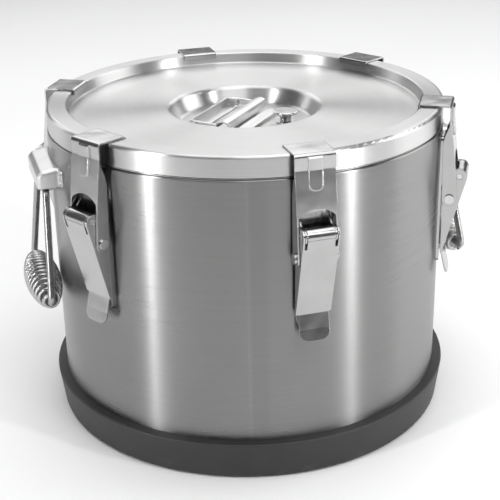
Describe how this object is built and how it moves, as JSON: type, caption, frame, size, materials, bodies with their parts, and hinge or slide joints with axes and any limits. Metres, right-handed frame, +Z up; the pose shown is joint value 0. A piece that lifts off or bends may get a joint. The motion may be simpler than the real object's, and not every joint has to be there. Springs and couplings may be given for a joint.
{
  "type": "soup kettle",
  "caption": "Round insulated steel soup kettle: bumper ring, lift-off lid held by folding hook latches, swinging wire bail handles, sunk lid handle and vent button.",
  "frame": {"origin": "centre of the underside of the bumper ring, where the kettle stands", "axes": "+Z up along the kettle's axis; the two bail handles lie on +X and -X; one latch faces -Y"},
  "size_m": [0.415, 0.397, 0.2839],
  "materials": {
    "shell_steel": "satin, brushed around the body",
    "lid_steel": "satin, brushed in circles",
    "pot_steel": "fine satin",
    "latch_steel": "polished stainless sheet",
    "pin_steel": "polished",
    "wire_steel": "drawn bright wire",
    "foam": "rigid polyurethane foam",
    "ring_rubber": "matt moulded rubber",
    "seal_rubber": "matt rubber"
  },
  "bodies": {
    "kettle": {"outer_shell": "shell_steel", "outer_bottom": "shell_steel", "inner_pot": "pot_steel", "body_foam": "foam", "base_ring": "ring_rubber", "latch_bracket_1": "latch_steel", "latch_bracket_2": "latch_steel", "latch_bracket_3": "latch_steel", "latch_bracket_4": "latch_steel", "latch_bracket_5": "latch_steel", "latch_bracket_6": "latch_steel", "latch_pivot_pins": "pin_steel", "latch_plate_rivets": "pin_steel", "handle_bracket_left": "latch_steel", "handle_bracket_right": "latch_steel", "handle_bracket_rivets": "pin_steel"},
    "lid": {"lid_cover": "lid_steel", "lid_liner": "lid_steel", "lid_foam": "foam", "lid_gasket": "seal_rubber", "lid_handle_bracket": "latch_steel", "lid_handle_rest": "latch_steel", "lid_handle_pins": "pin_steel", "vent_seat": "pin_steel", "vent_spring": "wire_steel"},
    "lid_grip": {"lid_handle": "latch_steel"},
    "vent": {"vent_button": "pin_steel", "vent_seal": "seal_rubber"},
    "latch_lever_1": {"lever_1": "latch_steel"},
    "latch_hook_1": {"hook_1": "latch_steel", "hook_rivet_1": "pin_steel"},
    "latch_lever_2": {"lever_2": "latch_steel"},
    "latch_hook_2": {"hook_2": "latch_steel", "hook_rivet_2": "pin_steel"},
    "latch_lever_3": {"lever_3": "latch_steel"},
    "latch_hook_3": {"hook_3": "latch_steel", "hook_rivet_3": "pin_steel"},
    "latch_lever_4": {"lever_4": "latch_steel"},
    "latch_hook_4": {"hook_4": "latch_steel", "hook_rivet_4": "pin_steel"},
    "latch_lever_5": {"lever_5": "latch_steel"},
    "latch_hook_5": {"hook_5": "latch_steel", "hook_rivet_5": "pin_steel"},
    "latch_lever_6": {"lever_6": "latch_steel"},
    "latch_hook_6": {"hook_6": "latch_steel", "hook_rivet_6": "pin_steel"},
    "left_handle": {"left_bail": "wire_steel", "left_grip": "wire_steel"},
    "right_handle": {"right_bail": "wire_steel", "right_grip": "wire_steel"}
  },
  "joints": [
    {"name": "lid_lift", "type": "slide", "parent": "kettle", "child": "lid", "axis": [0, 0, 1], "range_m": [0, 0.18]},
    {"name": "lid_handle_fold", "type": "hinge", "parent": "lid", "child": "lid_grip", "pos_m": [-0.02271, 0.0196, 0.2622], "axis": [-0.6534, -0.757, 0], "range_deg": [0, 95]},
    {"name": "vent_press", "type": "slide", "parent": "lid", "child": "vent", "axis": [0, 0, -1], "range_m": [0, 0.004], "stiffness_N_per_m": 400, "springref_m": -0.001, "deforming": ["vent_spring"]},
    {"name": "lever_1_turn", "type": "hinge", "parent": "kettle", "child": "latch_lever_1", "pos_m": [0, -0.1922, 0.2215], "axis": [-1, 0, 0], "range_deg": [0, 18]},
    {"name": "hook_1_turn", "type": "hinge", "parent": "latch_lever_1", "child": "latch_hook_1", "pos_m": [0, -0.1844, 0.201], "axis": [1, 0, 0], "range_deg": [0, 165]},
    {"name": "lever_2_turn", "type": "hinge", "parent": "kettle", "child": "latch_lever_2", "pos_m": [0.16645, -0.0961, 0.2215], "axis": [-0.5, -0.866, 0], "range_deg": [0, 18]},
    {"name": "hook_2_turn", "type": "hinge", "parent": "latch_lever_2", "child": "latch_hook_2", "pos_m": [0.1597, -0.0922, 0.201], "axis": [0.5, 0.866, 0], "range_deg": [0, 165]},
    {"name": "lever_3_turn", "type": "hinge", "parent": "kettle", "child": "latch_lever_3", "pos_m": [0.16645, 0.0961, 0.2215], "axis": [0.5, -0.866, 0], "range_deg": [0, 18]},
    {"name": "hook_3_turn", "type": "hinge", "parent": "latch_lever_3", "child": "latch_hook_3", "pos_m": [0.1597, 0.0922, 0.201], "axis": [-0.5, 0.866, 0], "range_deg": [0, 165]},
    {"name": "lever_4_turn", "type": "hinge", "parent": "kettle", "child": "latch_lever_4", "pos_m": [0, 0.1922, 0.2215], "axis": [1, 0, 0], "range_deg": [0, 18]},
    {"name": "hook_4_turn", "type": "hinge", "parent": "latch_lever_4", "child": "latch_hook_4", "pos_m": [0, 0.1844, 0.201], "axis": [-1, 0, 0], "range_deg": [0, 165]},
    {"name": "lever_5_turn", "type": "hinge", "parent": "kettle", "child": "latch_lever_5", "pos_m": [-0.16645, 0.0961, 0.2215], "axis": [0.5, 0.866, 0], "range_deg": [0, 18]},
    {"name": "hook_5_turn", "type": "hinge", "parent": "latch_lever_5", "child": "latch_hook_5", "pos_m": [-0.1597, 0.0922, 0.201], "axis": [-0.5, -0.866, 0], "range_deg": [0, 165]},
    {"name": "lever_6_turn", "type": "hinge", "parent": "kettle", "child": "latch_lever_6", "pos_m": [-0.16645, -0.0961, 0.2215], "axis": [-0.5, 0.866, 0], "range_deg": [0, 18]},
    {"name": "hook_6_turn", "type": "hinge", "parent": "latch_lever_6", "child": "latch_hook_6", "pos_m": [-0.1597, -0.0922, 0.201], "axis": [0.5, -0.866, 0], "range_deg": [0, 165]},
    {"name": "left_handle_swing", "type": "hinge", "parent": "kettle", "child": "left_handle", "pos_m": [-0.1845, 0, 0.223], "axis": [0, 1, 0], "range_deg": [0, 85]},
    {"name": "right_handle_swing", "type": "hinge", "parent": "kettle", "child": "right_handle", "pos_m": [0.1845, 0, 0.223], "axis": [0, -1, 0], "range_deg": [0, 85]}
  ],
  "couplings": [
    {"joint": "lever_1_turn", "follows": "hook_1_turn", "ratio": 0.10909},
    {"joint": "lever_2_turn", "follows": "hook_2_turn", "ratio": 0.10909},
    {"joint": "lever_3_turn", "follows": "hook_3_turn", "ratio": 0.10909},
    {"joint": "lever_4_turn", "follows": "hook_4_turn", "ratio": 0.10909},
    {"joint": "lever_5_turn", "follows": "hook_5_turn", "ratio": 0.10909},
    {"joint": "lever_6_turn", "follows": "hook_6_turn", "ratio": 0.10909}
  ]
}
